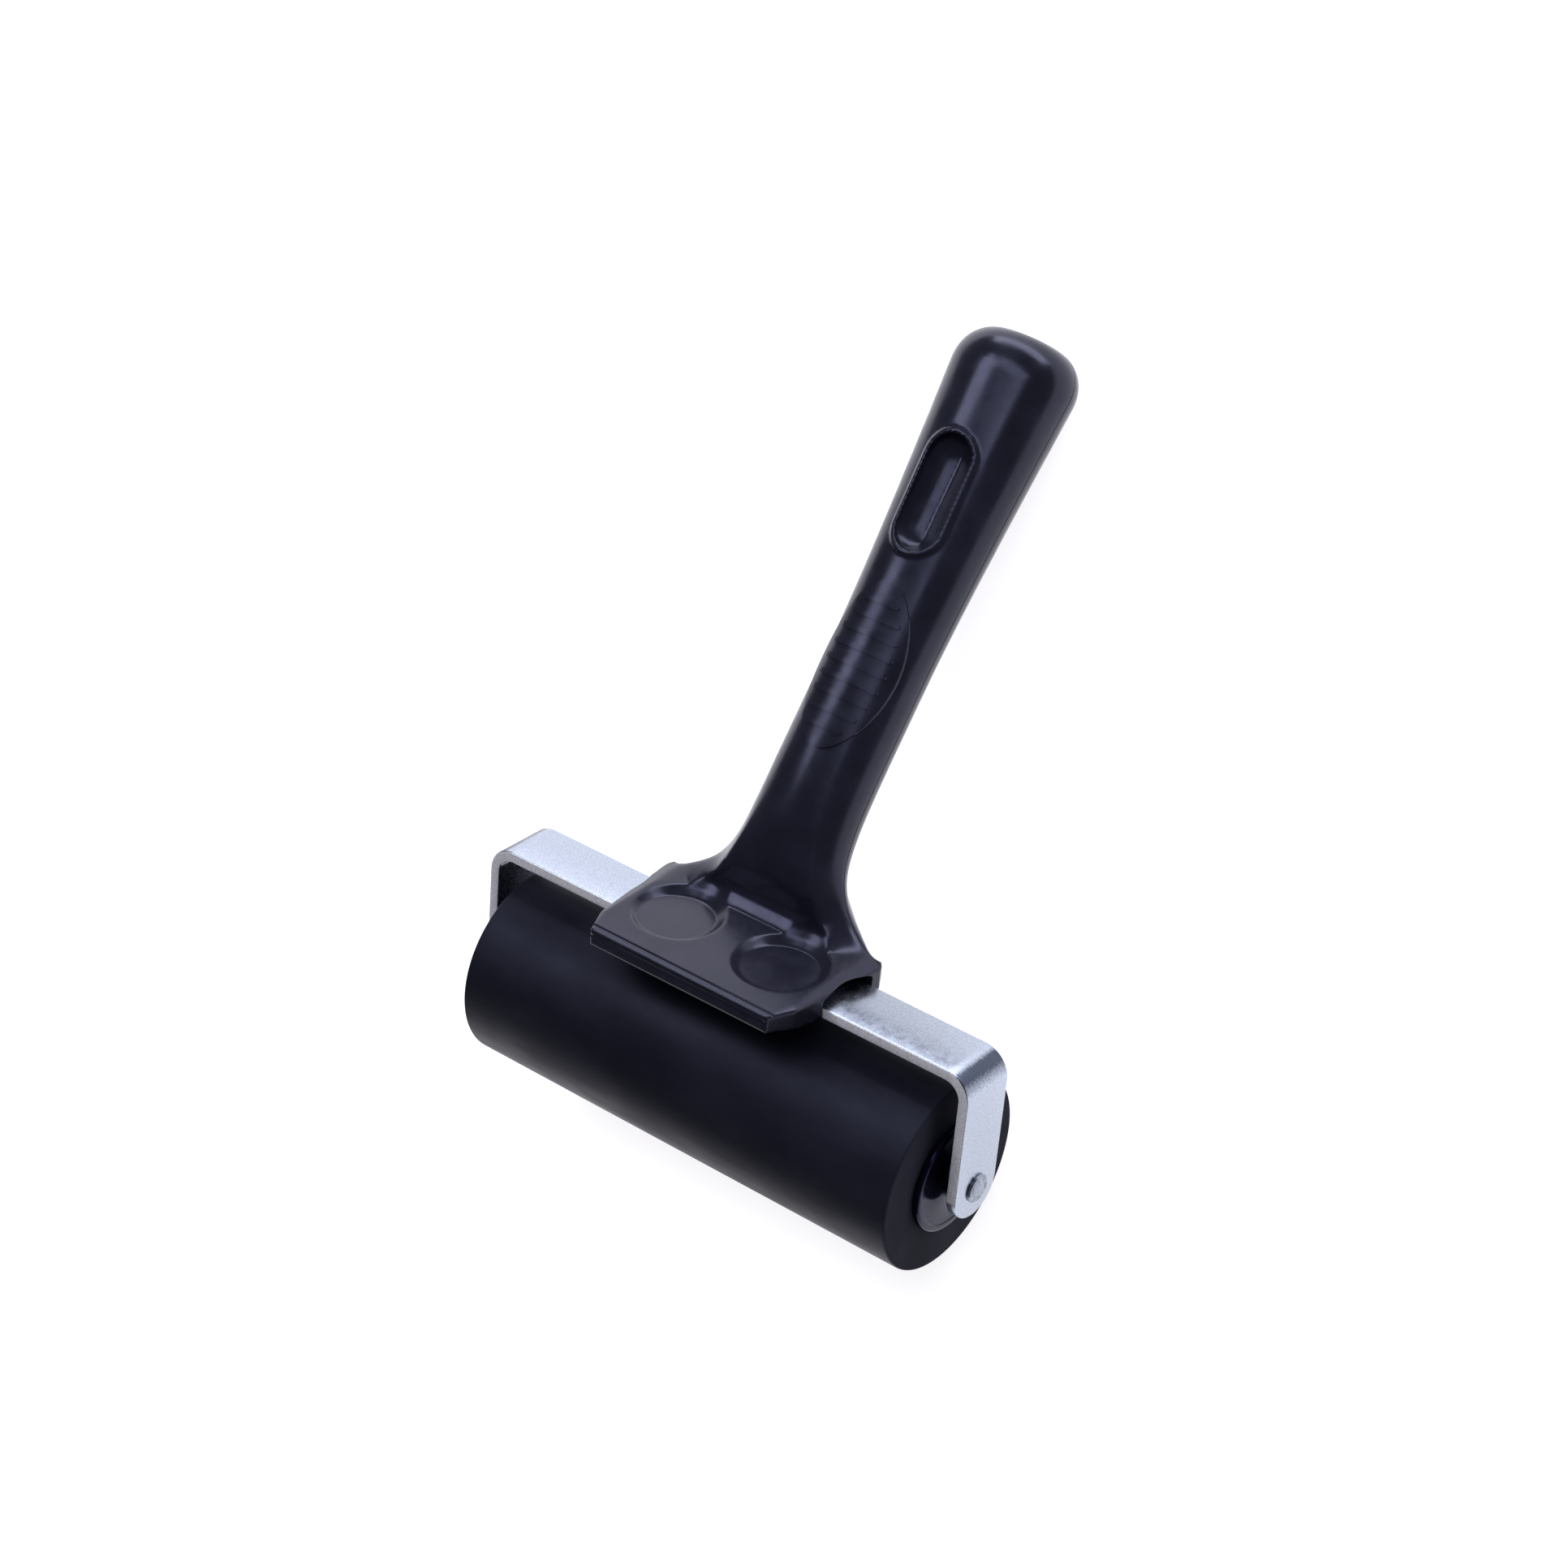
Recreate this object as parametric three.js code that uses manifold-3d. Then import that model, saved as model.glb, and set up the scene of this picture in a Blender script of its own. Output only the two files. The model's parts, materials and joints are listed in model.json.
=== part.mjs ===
// Rubber brayer: a 100 mm roller in a bent steel yoke under a hollow two-piece moulded handle.
// Upright frame: the axle is the X axis, the yoke's arms run up +Z and the handle leans back
// towards +Y. The whole group is then laid on its back until roller and handle butt both touch Z = 0.
import * as THREE from "three";
import { mergeVertices } from "three/addons/utils/BufferGeometryUtils.js";
import Module from "manifold-3d";

const wasm = await Module();
wasm.setup();

// ---- driving dimensions, millimetres and degrees ----
const FIT = 0.3; // gap between pieces that touch
const ROLLER_LENGTH = 100;
const ROLLER_R = 19.2;
const CORE_R = 10;
const CORE_WALL = 1.6;
const PLUG = { flangeR: 11, flange: 1.4, spigot: 12, hubR: 4.5, hubOut: 1.8, rim: 0.5 };
const AXLE_R = 2.5;
const AXLE_NECK_R = 2.1;
const AXLE_HEAD = { r: 2.8, out: 0.9, mark: 1.1 };
const STRIP = { width: 12.3, thick: 2.2, bend: 5.45 };
const ARM_INNER_X = ROLLER_LENGTH / 2 + 3.8;
const ARM_OUTER_X = ARM_INNER_X + STRIP.thick;
const BAR_TOP = 25.85;
const BAR_BOTTOM = BAR_TOP - STRIP.thick;

const LEAN = 36.4; // handle axis away from the arms
const HANDLE = { root: [3.8, 28.5], length: 118.2, wall: 2.2, ratio: 0.82, corner: 8.5 };
const DECK = { front: -18.8, z: 28.5, slope: 3, lip: 24.98, tipX: 25.3, tipY: 8.5, tipZ: 28.4, rear: 16.5 };
const SEAM_Y = 8.8; // the parting line turns upright here, behind the crossbar
const DIMPLE = { x: 12, y: -4.4, r: 9.2, floorR: 7.6, floorZ: 28.15, deep: 1.3 };
const RECESS = { from: 73, to: 95.9, r: 4.6, depth: 2.6 };
const PAD = { s: 50.2, length: 33, width: 16.5, out: 0.5 };
const FOOT = { top: BAR_BOTTOM - FIT, thick: 1.9, halfX: 16, front: -5 };
const PIN_R = 2;
const PEG = { at: [28, 64, 103], r: 1.7, tube: 3.6 };
const RIB_THICK = 1.4;

const rad = THREE.MathUtils.degToRad;
const sin = Math.sin(rad(LEAN));
const cos = Math.cos(rad(LEAN));

// ---- solids ----
const placed = (geometry, { at = [0, 0, 0], turn = [0, 0, 0] } = {}) =>
  geometry.applyMatrix4(
    new THREE.Matrix4().compose(
      new THREE.Vector3(...at),
      new THREE.Quaternion().setFromEuler(new THREE.Euler(...turn.map(rad))),
      new THREE.Vector3(1, 1, 1),
    ),
  );

function solid(geometry) {
  const bare = new THREE.BufferGeometry().setAttribute(
    "position",
    (geometry.index ? geometry.toNonIndexed() : geometry).getAttribute("position"),
  );
  const merged = mergeVertices(bare, 1e-4);
  const made = new wasm.Manifold(
    new wasm.Mesh({
      numProp: 3,
      vertProperties: merged.attributes.position.array,
      triVerts: new Uint32Array(merged.index.array),
    }),
  );
  if (made.volume() <= 0) throw new Error("a primitive is inside out");
  return made;
}

function geometryOf(manifold) {
  const mesh = manifold.getMesh();
  return new THREE.BufferGeometry()
    .setAttribute("position", new THREE.BufferAttribute(new Float32Array(mesh.vertProperties), 3))
    .setIndex(new THREE.BufferAttribute(new Uint32Array(mesh.triVerts), 1));
}

const box = (size, at, turn) => solid(placed(new THREE.BoxGeometry(...size), { at, turn }));

// a rod from r1 at its start to r2 at its end, along X, Y or Z of the given turn
const rod = (r1, r2, length, at, turn = [90, 0, 0], sides = 24) =>
  solid(placed(new THREE.CylinderGeometry(r2, r1, length, sides), { at, turn }));

// a turned piece: [x, radius] profile about the X axis, from axis to axis or closed on itself
function turned(profile, sides = 72, offset = 0) {
  const points = profile.map(([x, r]) => new THREE.Vector2(r, x));
  return placed(new THREE.LatheGeometry(points, sides, offset), { turn: [0, 0, -90] });
}

// ---- handle surface: rings along the leaning axis, root at the deck and end at the butt ----
const flare = (s, reach, power) => Math.exp(-Math.pow(Math.max(s, 0) / reach, power));
const swell = (s) => 0.0087 * Math.pow(Math.max(s - 55, 0), 1.41);
const halfWidth = (s) => 10.2 + 14.3 * flare(s, 6.9, 1.15) + swell(s);
const gripDepth = (s) => HANDLE.ratio * (10.4 + swell(s));
const frontDepth = (s) => gripDepth(s) - 4.6 * flare(s, 9, 1.3) + 2.4 * flare(s + 1.5, 2, 1.4);
const rearDepth = (s) => gripDepth(s) - 3.5 * flare(s, 9, 1.3);
// how far the section has turned from an oval into a flat-fronted blade with bevelled sides
const blade = (s) => flare(s, 10, 1.6);

// the middle line of the handle: at the deck it stands over the shoulder tips, higher up on the axis
const middle = (s) => [
  HANDLE.root[0] + s * sin + (DECK.tipY - HANDLE.root[0]) * flare(s, 14, 1.6),
  HANDLE.root[1] + s * cos,
];

// point on the ring at s: across is its X fraction, deep its front (-) to rear (+) fraction
function handlePoint(s, across, deep, inset = 0) {
  const lean = rad(LEAN) * THREE.MathUtils.smoothstep(s, -1, 17);
  const [y, z] = middle(s);
  const depth = Math.max((deep < 0 ? frontDepth(s) : rearDepth(s)) - inset, 0.5);
  const flat = Math.sign(deep) * Math.min(1, (1 - Math.abs(across)) / 0.3, 4 * Math.abs(deep));
  const d = depth * (deep + blade(s) * (flat - deep));
  return [(halfWidth(s) - inset) * across, y + d * Math.cos(lean), z - d * Math.sin(lean)];
}

// the lofted body: a lathe of unit rings, each ring carried onto the handle's own section
function loft(from, to, inset, corner, sides, rings) {
  const profile = [new THREE.Vector2(0, from)];
  for (let i = 0; i <= rings; i++) {
    profile.push(new THREE.Vector2(1, from + (to - corner - from) * Math.pow(i / rings, 1.15)));
  }
  for (let i = 1; i <= 5; i++) {
    const a = (i / 5) * (Math.PI / 2);
    profile.push(new THREE.Vector2(1 - 0.6 * (1 - Math.cos(a)), to - corner * (1 - Math.sin(a))));
  }
  profile.push(new THREE.Vector2(0, to + 0.35 * (corner / HANDLE.corner)));
  const body = new THREE.LatheGeometry(profile, sides);
  const position = body.getAttribute("position");
  for (let i = 0; i < position.count; i++) {
    const [x, s, z] = [position.getX(i), position.getY(i), position.getZ(i)];
    const r = Math.hypot(x, z);
    const angle = Math.round((Math.atan2(x, z) / (2 * Math.PI)) * sides) * ((2 * Math.PI) / sides);
    const across = r * Math.sin(angle);
    const deep = -r * Math.cos(angle);
    position.setXYZ(i, ...handlePoint(s, across, Math.abs(deep) < 1e-6 ? 0 : deep, inset));
  }
  return solid(body);
}

// a point on the handle's axis plus an offset along its front-to-rear normal
const onAxis = (s, n = 0) => [0, HANDLE.root[0] + s * sin + n * cos, HANDLE.root[1] + s * cos - n * sin];
// a turn that carries +Z onto the handle's axis
const ALONG = [-LEAN, 0, 0];

// ---- base plate under the neck, seen from above ----
function plan(grow = 0) {
  const { front, tipX, tipY, rear } = DECK;
  const s = new THREE.Shape();
  s.moveTo(-20.4 - grow, front - grow);
  s.lineTo(20.4 + grow, front - grow);
  s.quadraticCurveTo(23.2 + grow, -14, 23.6 + grow, -8);
  s.quadraticCurveTo(24.1 + grow, 0, tipX + grow, tipY);
  s.quadraticCurveTo(24.6 + grow, 11.5, 19, 13.5 + grow);
  s.quadraticCurveTo(10, rear + grow, 0, rear + grow);
  s.quadraticCurveTo(-10, rear + grow, -19, 13.5 + grow);
  s.quadraticCurveTo(-24.6 - grow, 11.5, -tipX - grow, tipY);
  s.quadraticCurveTo(-24.1 - grow, 0, -23.6 - grow, -8);
  s.quadraticCurveTo(-23.2 - grow, -14, -20.4 - grow, front - grow);
  return s;
}

function slab(shape, low, high, bevel = 0) {
  const options = {
    depth: high - low - bevel,
    curveSegments: 8,
    bevelEnabled: bevel > 0,
    bevelThickness: bevel,
    bevelSize: bevel,
    bevelOffset: -bevel,
    bevelSegments: 1,
  };
  return solid(placed(new THREE.ExtrudeGeometry(shape, options), { at: [0, 0, low] }));
}

const WIDE = 300;
// everything above the sloping deck, and everything below the rising underside of the lip
const aboveDeck = box([WIDE, WIDE, WIDE], [0, DECK.front - (WIDE / 2) * Math.sin(rad(DECK.slope)),
  DECK.z + (WIDE / 2) * Math.cos(rad(DECK.slope))], [DECK.slope, 0, 0]);
const underLip = box([WIDE, WIDE, WIDE], [0, DECK.front - (WIDE / 2) * Math.sin(rad(6.2)),
  DECK.lip - (WIDE / 2) * Math.cos(rad(6.2))], [-6.2, 0, 0]);

// the deck falls away to the shoulder tips at both sides and behind them
const fallAway = (turn, x, y) => box([WIDE, WIDE, WIDE], [0, 0, WIDE / 2])
  .rotate(turn).translate([x, y, DECK.tipZ]);

const base = slab(plan(), BAR_BOTTOM - 0.1, 33, 0)
  .subtract(aboveDeck)
  .subtract(underLip)
  .subtract(fallAway([0, 21, 0], DECK.tipX, DECK.tipY))
  .subtract(fallAway([0, -21, 0], -DECK.tipX, DECK.tipY))
  .subtract(fallAway([-42, 0, 0], 0, DECK.tipY + 0.7));

const outside = loft(-1.5, HANDLE.length, 0, HANDLE.corner, 48, 24).add(base);
const neckInside = loft(10.5, HANDLE.length - HANDLE.wall, HANDLE.wall, 5.5, 20, 12);

// room under the deck: a front pocket, the crossbar's channel and the arched mouths it leaves by
const pocketShape = (halfX, low, high) =>
  new THREE.Shape([[-halfX, low], [halfX, low], [halfX, high], [-halfX, high]]
    .map(([x, y]) => new THREE.Vector2(x, y)));
const halfBar = STRIP.width / 2 + FIT;
const channel = box([WIDE, 2 * halfBar, 8], [0, 0, BAR_TOP + FIT - 4]);
const mouth = (side) => box([9, 2 * halfBar, 8], [side * 26.5, 0, 28.3 - 4])
  .add(rod(halfBar, halfBar, 9, [side * 26.5, 0, 28.3], [0, 0, 90], 32)
    .intersect(box([20, 20, 1.2], [side * 26.5, 0, 28.2])));
const frontPocket = slab(pocketShape(17.5, -16.4, -8.4), 20, 26.4);

// stadium recess: two half-round ends, the floor a valley that falls to the middle line
function stadium(radius, from, to, low, high) {
  const half = (to - from) / 2 - RECESS.r;
  const s = new THREE.Shape();
  s.absarc(0, half, radius, 0, Math.PI, false);
  s.absarc(0, -half, radius, Math.PI, 2 * Math.PI, false);
  const options = { depth: high - low, bevelEnabled: false, curveSegments: 8 };
  const g = new THREE.ExtrudeGeometry(s, options);
  return placed(g, { at: [0, 0, low] });
}
// carries a shape drawn in (X, along the handle) and raised towards the front onto the handle
function onFront(geometry, s) {
  const frame = new THREE.Matrix4().makeBasis(
    new THREE.Vector3(1, 0, 0),
    new THREE.Vector3(0, sin, cos),
    new THREE.Vector3(0, -cos, sin),
  ).setPosition(0, HANDLE.root[0] + s * sin, HANDLE.root[1] + s * cos);
  return solid(geometry.applyMatrix4(frame));
}
const recessMid = (RECESS.from + RECESS.to) / 2;
const recessFloor = frontDepth(recessMid) - RECESS.depth;
const recess = onFront(stadium(RECESS.r, RECESS.from, RECESS.to, recessFloor, 20), recessMid);
const recessWall = onFront(
  stadium(RECESS.r + 1.8, RECESS.from, RECESS.to, recessFloor - 1.8, 20), recessMid);

// raised oval pad, a skin over the grip's own surface
const padShape = new THREE.Shape().absellipse(0, 0, PAD.width / 2, PAD.length / 2, 0, 2 * Math.PI);
const padTool = onFront(
  new THREE.ExtrudeGeometry(padShape, { depth: 20, bevelEnabled: false, curveSegments: 9 }), PAD.s);
const pad = loft(30, 72, -PAD.out, 0.01, 48, 6).intersect(padTool);

// dimples: flat-bottomed hollows with a sloping wall that bite into the foot of the neck
const dimple = (side) => {
  const { x, y, r, floorR, floorZ, deep } = DIMPLE;
  return rod(floorR, r, deep, [side * x, y, floorZ + deep / 2], [90, 0, 0], 32)
    .add(rod(r, r, 6, [side * x, y, floorZ + deep + 2.98], [90, 0, 0], 32));
};

// the two halves part on the handle's middle line, and upright behind the crossbar below it
function behindSeam(shift) {
  const edge = [[SEAM_Y + shift, -WIDE], [SEAM_Y + shift, HANDLE.root[1]]];
  for (let s = 2; s <= 200; s += s < 24 ? 2 : 88) {
    const [y, z] = middle(s);
    edge.push([y + shift * cos, z - shift * sin]);
  }
  edge.push([WIDE * 2, WIDE], [WIDE * 2, -WIDE]);
  const shape = new THREE.Shape(edge.map(([y, z]) => new THREE.Vector2(y, z)).reverse());
  const block = new THREE.ExtrudeGeometry(shape, { depth: 120, bevelEnabled: false });
  const basis = new THREE.Matrix4().makeBasis(
    new THREE.Vector3(0, 1, 0), new THREE.Vector3(0, 0, 1), new THREE.Vector3(1, 0, 0));
  return solid(block.applyMatrix4(basis.setPosition(-60, 0, 0)));
}
const rearSpace = behindSeam(FIT / 2);
const frontSpace = box([WIDE * 2, WIDE * 2, WIDE * 2], [0, 0, 0]).subtract(behindSeam(-FIT / 2));

const hollow = neckInside.subtract(recessWall).add(frontPocket);
const shell = outside.add(pad).subtract(hollow).subtract(recess)
  .subtract(dimple(1)).subtract(dimple(-1))
  .subtract(channel).subtract(mouth(1)).subtract(mouth(-1));

// stiffening ribs and the pegs and sockets that key the halves together
const insideBody = loft(1, HANDLE.length - 0.8, 0.8, 6.7, 20, 12);
const rib = (s) => box([60, 60, RIB_THICK], onAxis(s), ALONG).intersect(insideBody);
const across = (r, from, to, s) => rod(r, r, to - from, onAxis(s, (from + to) / 2), ALONG, 16);

let front = shell.intersect(frontSpace);
let rear = shell.intersect(rearSpace);
for (const s of PEG.at) {
  front = front.add(across(PEG.tube - 0.6, -frontDepth(s) + 1, -FIT, s))
    .add(across(PEG.r, -frontDepth(s) + 1, 4.5, s));
  rear = rear.add(across(PEG.tube, FIT, rearDepth(s) - 1, s))
    .subtract(across(PEG.r + FIT, -1, 4.5 + FIT, s));
}
for (const s of [45, 84]) {
  front = front.add(rib(s).intersect(frontSpace).subtract(recess));
  rear = rear.add(rib(s).intersect(rearSpace));
}
// pins that locate the crossbar, and the foot of the rear half that holds it up
for (const side of [-1, 1]) {
  front = front.add(rod(PIN_R, PIN_R, 4, [side * DIMPLE.x, 0, BAR_BOTTOM + 2.1], [90, 0, 0], 16));
}
const footShape = pocketShape(FOOT.halfX, FOOT.front, SEAM_Y + 5);
rear = rear
  .add(slab(footShape, FOOT.top - FOOT.thick, FOOT.top))
  .add(box([2 * FOOT.halfX, 2.4, 6], [0, SEAM_Y + 3.6, FOOT.top - FOOT.thick + 3]));

// ---- yoke: one strip bent square at both ends of the crossbar, round at both arm ends ----
function yokeSolid() {
  const { width, thick, bend } = STRIP;
  const outer = new THREE.Shape();
  const inner = bend - thick;
  const low = -width;
  outer.moveTo(-ARM_OUTER_X, low);
  outer.lineTo(-ARM_INNER_X, low);
  outer.lineTo(-ARM_INNER_X, BAR_BOTTOM - inner);
  outer.absarc(-ARM_INNER_X + inner, BAR_BOTTOM - inner, inner, Math.PI, Math.PI / 2, true);
  outer.lineTo(ARM_INNER_X - inner, BAR_BOTTOM);
  outer.absarc(ARM_INNER_X - inner, BAR_BOTTOM - inner, inner, Math.PI / 2, 0, true);
  outer.lineTo(ARM_INNER_X, low);
  outer.lineTo(ARM_OUTER_X, low);
  outer.lineTo(ARM_OUTER_X, BAR_TOP - bend);
  outer.absarc(ARM_OUTER_X - bend, BAR_TOP - bend, bend, 0, Math.PI / 2, false);
  outer.lineTo(-ARM_OUTER_X + bend, BAR_TOP);
  outer.absarc(-ARM_OUTER_X + bend, BAR_TOP - bend, bend, Math.PI / 2, Math.PI, false);
  const strip = solid(placed(
    new THREE.ExtrudeGeometry(outer, { depth: width, bevelEnabled: false, curveSegments: 8 }),
    { at: [0, width / 2, 0], turn: [90, 0, 0] },
  ));
  const keep = rod(width / 2, width / 2, 200, [0, 0, 0], [0, 0, 90], 48)
    .add(box([200, 2 * width, 60], [0, 0, 30]));
  let yoke = strip.intersect(keep)
    .subtract(rod(AXLE_NECK_R + FIT, AXLE_NECK_R + FIT, 200, [0, 0, 0], [0, 0, 90], 24));
  for (const side of [-1, 1]) {
    yoke = yoke.subtract(rod(PIN_R + FIT, PIN_R + FIT, 10, [side * DIMPLE.x, 0, BAR_TOP], [90, 0, 0], 16));
  }
  return yoke;
}

// ---- roller and axle ----
const halfL = ROLLER_LENGTH / 2;
const sleeveBore = CORE_R + FIT;
const sleeve = turned([
  [-halfL, sleeveBore], [-halfL, ROLLER_R - 0.4], [-halfL + 0.4, ROLLER_R],
  [halfL - 0.4, ROLLER_R], [halfL, ROLLER_R - 0.4], [halfL, sleeveBore], [-halfL, sleeveBore],
], 80);
const tubeHalf = halfL - FIT;
const tube = turned([
  [-tubeHalf, CORE_R - CORE_WALL], [-tubeHalf, CORE_R], [tubeHalf, CORE_R],
  [tubeHalf, CORE_R - CORE_WALL], [-tubeHalf, CORE_R - CORE_WALL],
], 48);
function plug(side) {
  const bore = AXLE_R + FIT;
  const spigotR = CORE_R - CORE_WALL - FIT;
  const face = halfL + FIT;
  const out = face + PLUG.flange;
  const profile = [
    [face - PLUG.spigot, bore], [face - PLUG.spigot, spigotR - 0.6], [face - PLUG.spigot + 0.6, spigotR],
    [face, spigotR], [face, PLUG.flangeR], [out - PLUG.rim, PLUG.flangeR],
    [out, PLUG.flangeR - PLUG.rim], [out, PLUG.hubR], [out + PLUG.hubOut, PLUG.hubR],
    [out + PLUG.hubOut, bore], [face - PLUG.spigot, bore],
  ];
  const made = side > 0 ? profile : profile.map(([x, r]) => [-x, r]).reverse();
  return turned(made, 40);
}
const neckFrom = ARM_INNER_X - FIT;
const headFrom = ARM_OUTER_X + FIT;
const headTo = headFrom + AXLE_HEAD.out;
const halfAxle = [
  [neckFrom, AXLE_R], [neckFrom, AXLE_NECK_R], [headFrom, AXLE_NECK_R], [headFrom, AXLE_HEAD.r],
  [headFrom + 0.35, AXLE_HEAD.r], [headTo - 0.1, AXLE_HEAD.mark + 0.7], [headTo, AXLE_HEAD.mark],
  [headTo - 0.45, AXLE_HEAD.mark - 0.35], [headTo - 0.45, 0],
];
const axle = turned([...halfAxle.map(([x, r]) => [-x, r]).reverse(), ...halfAxle], 32);

// ---- the object ----
const finish = (name, color, roughness, metalness = 0) =>
  new THREE.MeshStandardMaterial({ name, color, roughness, metalness });
const upright = new THREE.Group();
function add(name, geometry, material) {
  const mesh = new THREE.Mesh(geometry, material);
  mesh.name = name;
  upright.add(mesh);
  return mesh;
}
add("handle_front_shell", geometryOf(front), finish("front_plastic", 0x1b1b26, 0.36));
add("handle_rear_shell", geometryOf(rear), finish("rear_plastic", 0x191923, 0.38));
add("yoke", geometryOf(yokeSolid()), finish("zinc_plated_strip", 0xc3c9d6, 0.38, 1));
add("axle", axle, finish("steel_rod", 0x9ba0a8, 0.35, 1));
add("rubber_sleeve", sleeve, finish("rubber", 0x17171c, 0.62));
add("core_tube", tube, finish("core_plastic", 0x2a2a2e, 0.5));
add("end_plug_right", plug(1), finish("right_plug_plastic", 0x0c0c10, 0.16));
add("end_plug_left", plug(-1), finish("left_plug_plastic", 0x0c0c10, 0.16));

// lay it down: the tilt at which the lowest point of the handle is level with that of the roller
function lowest(mesh, tilt) {
  const p = mesh.geometry.getAttribute("position");
  const [c, s] = [Math.cos(tilt), Math.sin(tilt)];
  let low = Infinity;
  for (let i = 0; i < p.count; i++) low = Math.min(low, p.getZ(i) * c - p.getY(i) * s);
  return low;
}
const shells = upright.children.slice(0, 2);
let [least, most] = [rad(20), rad(70)];
for (let i = 0; i < 50; i++) {
  const tilt = (least + most) / 2;
  const handleLow = Math.min(...shells.map((mesh) => lowest(mesh, tilt)));
  if (handleLow < -ROLLER_R) most = tilt;
  else least = tilt;
}
upright.rotation.x = -(least + most) / 2;
const brayer = new THREE.Group();
brayer.add(upright);
brayer.updateMatrixWorld(true);
const bounds = new THREE.Box3().setFromObject(brayer, true);
upright.position.set(0, -(bounds.min.y + bounds.max.y) / 2, -bounds.min.z);

export default brayer;
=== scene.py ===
"""Rubber brayer: a hard rubber roller in a bent steel yoke with a black moulded handle.

Every piece is drawn in the brayer's own upright frame, in millimetres: the origin is the middle
of the roller on its axle, X runs along the roller, Z points up the yoke arms and the handle
leans back towards +Y. `Pose.settle` then lays the finished mesh down as the tool rests on a
table, on its roller and the butt of its handle, in metres.
"""

import json
import logging
import math
from collections.abc import Callable, Sequence
from dataclasses import dataclass, field
from enum import Enum

import bpy
from mathutils import Matrix, Vector


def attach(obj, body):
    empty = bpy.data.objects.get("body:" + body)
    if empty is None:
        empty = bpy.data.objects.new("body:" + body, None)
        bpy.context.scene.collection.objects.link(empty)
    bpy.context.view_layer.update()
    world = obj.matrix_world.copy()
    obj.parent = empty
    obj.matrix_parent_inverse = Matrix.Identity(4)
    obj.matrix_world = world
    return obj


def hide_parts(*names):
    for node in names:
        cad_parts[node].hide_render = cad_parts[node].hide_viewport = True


LOG = logging.getLogger("brayer")

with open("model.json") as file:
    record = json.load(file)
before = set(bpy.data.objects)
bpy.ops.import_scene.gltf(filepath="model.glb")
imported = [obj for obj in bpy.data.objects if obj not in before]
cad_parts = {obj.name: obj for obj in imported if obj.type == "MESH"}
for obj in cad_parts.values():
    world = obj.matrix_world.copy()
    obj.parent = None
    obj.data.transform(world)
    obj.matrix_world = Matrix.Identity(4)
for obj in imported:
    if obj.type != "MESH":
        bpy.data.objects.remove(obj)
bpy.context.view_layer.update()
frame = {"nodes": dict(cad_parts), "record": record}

Point = tuple[float, float, float]


class Axis(Enum):
    """The axis that a profile turns about or an outline is drawn out along."""

    X = 0
    Y = 1
    Z = 2


class Join(Enum):
    """What a tool does to the piece it meets."""

    ADD = "UNION"
    CUT = "DIFFERENCE"
    KEEP = "INTERSECT"


# ---------------------------------------------------------------- modelling by operators


def pick(obj: bpy.types.Object) -> bpy.types.Object:
    """Select one object alone and make it active.

    Args:
        obj: the object to work on.

    Returns:
        The same object.
    """
    if bpy.context.object and bpy.context.object.mode != "OBJECT":
        bpy.ops.object.mode_set(mode="OBJECT")
    bpy.ops.object.select_all(action="DESELECT")
    obj.select_set(True)
    bpy.context.view_layer.objects.active = obj
    return obj


def edit(obj: bpy.types.Object, work: Callable[[], None]) -> None:
    """Run some edit-mode operators on an object with all of its mesh selected.

    Args:
        obj: the object to open.
        work: what to do while it is open.
    """
    pick(obj)
    bpy.ops.object.mode_set(mode="EDIT")
    bpy.ops.mesh.select_mode(type="VERT")
    bpy.ops.mesh.select_all(action="SELECT")
    work()
    bpy.ops.object.mode_set(mode="OBJECT")


def finish_modifier(obj: bpy.types.Object, kind: str, **settings: object) -> None:
    """Add a modifier with its settings and apply it.

    Args:
        obj: the piece.
        kind: the modifier's type name.
        settings: its properties.
    """
    pick(obj)
    modifier = obj.modifiers.new(kind.lower(), kind)
    for key, value in settings.items():
        setattr(modifier, key, value)
    bpy.ops.object.modifier_apply(modifier=modifier.name)


def meet(obj: bpy.types.Object, tool: bpy.types.Object, how: Join, solver: str = "MANIFOLD") -> None:
    """Join, cut or trim a piece with a closed tool, by one of Blender's solvers, and drop the tool."""
    finish_modifier(obj, "BOOLEAN", object=tool, operation=how.value, solver=solver)
    bpy.data.objects.remove(tool)


def ring(name: str, points: Sequence[Point], filled: bool = True) -> bpy.types.Object:
    """A closed ring of points, started as a circle with as many vertices.

    Args:
        name: the new object's name.
        points: where each vertex goes.
        filled: whether one face fills it.

    Returns:
        The new object.
    """
    bpy.ops.mesh.primitive_circle_add(
        vertices=len(points), fill_type="NGON" if filled else "NOTHING", location=(0, 0, 0)
    )
    obj = bpy.context.object
    obj.name = obj.data.name = name
    for vertex, point in zip(obj.data.vertices, points):
        vertex.co = point
    return obj


def drawn(
    name: str, outline: Sequence[tuple[float, float]], low: float, high: float, axis: Axis
) -> bpy.types.Object:
    """A solid drawn out of a flat outline.

    Args:
        name: the new object's name.
        outline: the outline's points in the other two axes, in the order X, Y, Z.
        low: where it starts on the axis.
        high: where it ends.
        axis: the direction that it is drawn along.

    Returns:
        The new object.
    """
    points = [(*p[: axis.value], low, *p[axis.value :]) for p in outline]
    shift = tuple(high - low if place is axis else 0 for place in Axis)
    obj = ring(name, points)

    def pull() -> None:
        """Draw the face out and turn the walls outwards."""
        bpy.ops.mesh.extrude_region_move(TRANSFORM_OT_translate={"value": shift})
        bpy.ops.mesh.select_all(action="SELECT")
        bpy.ops.mesh.normals_make_consistent(inside=False)

    edit(obj, pull)
    return obj


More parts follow.
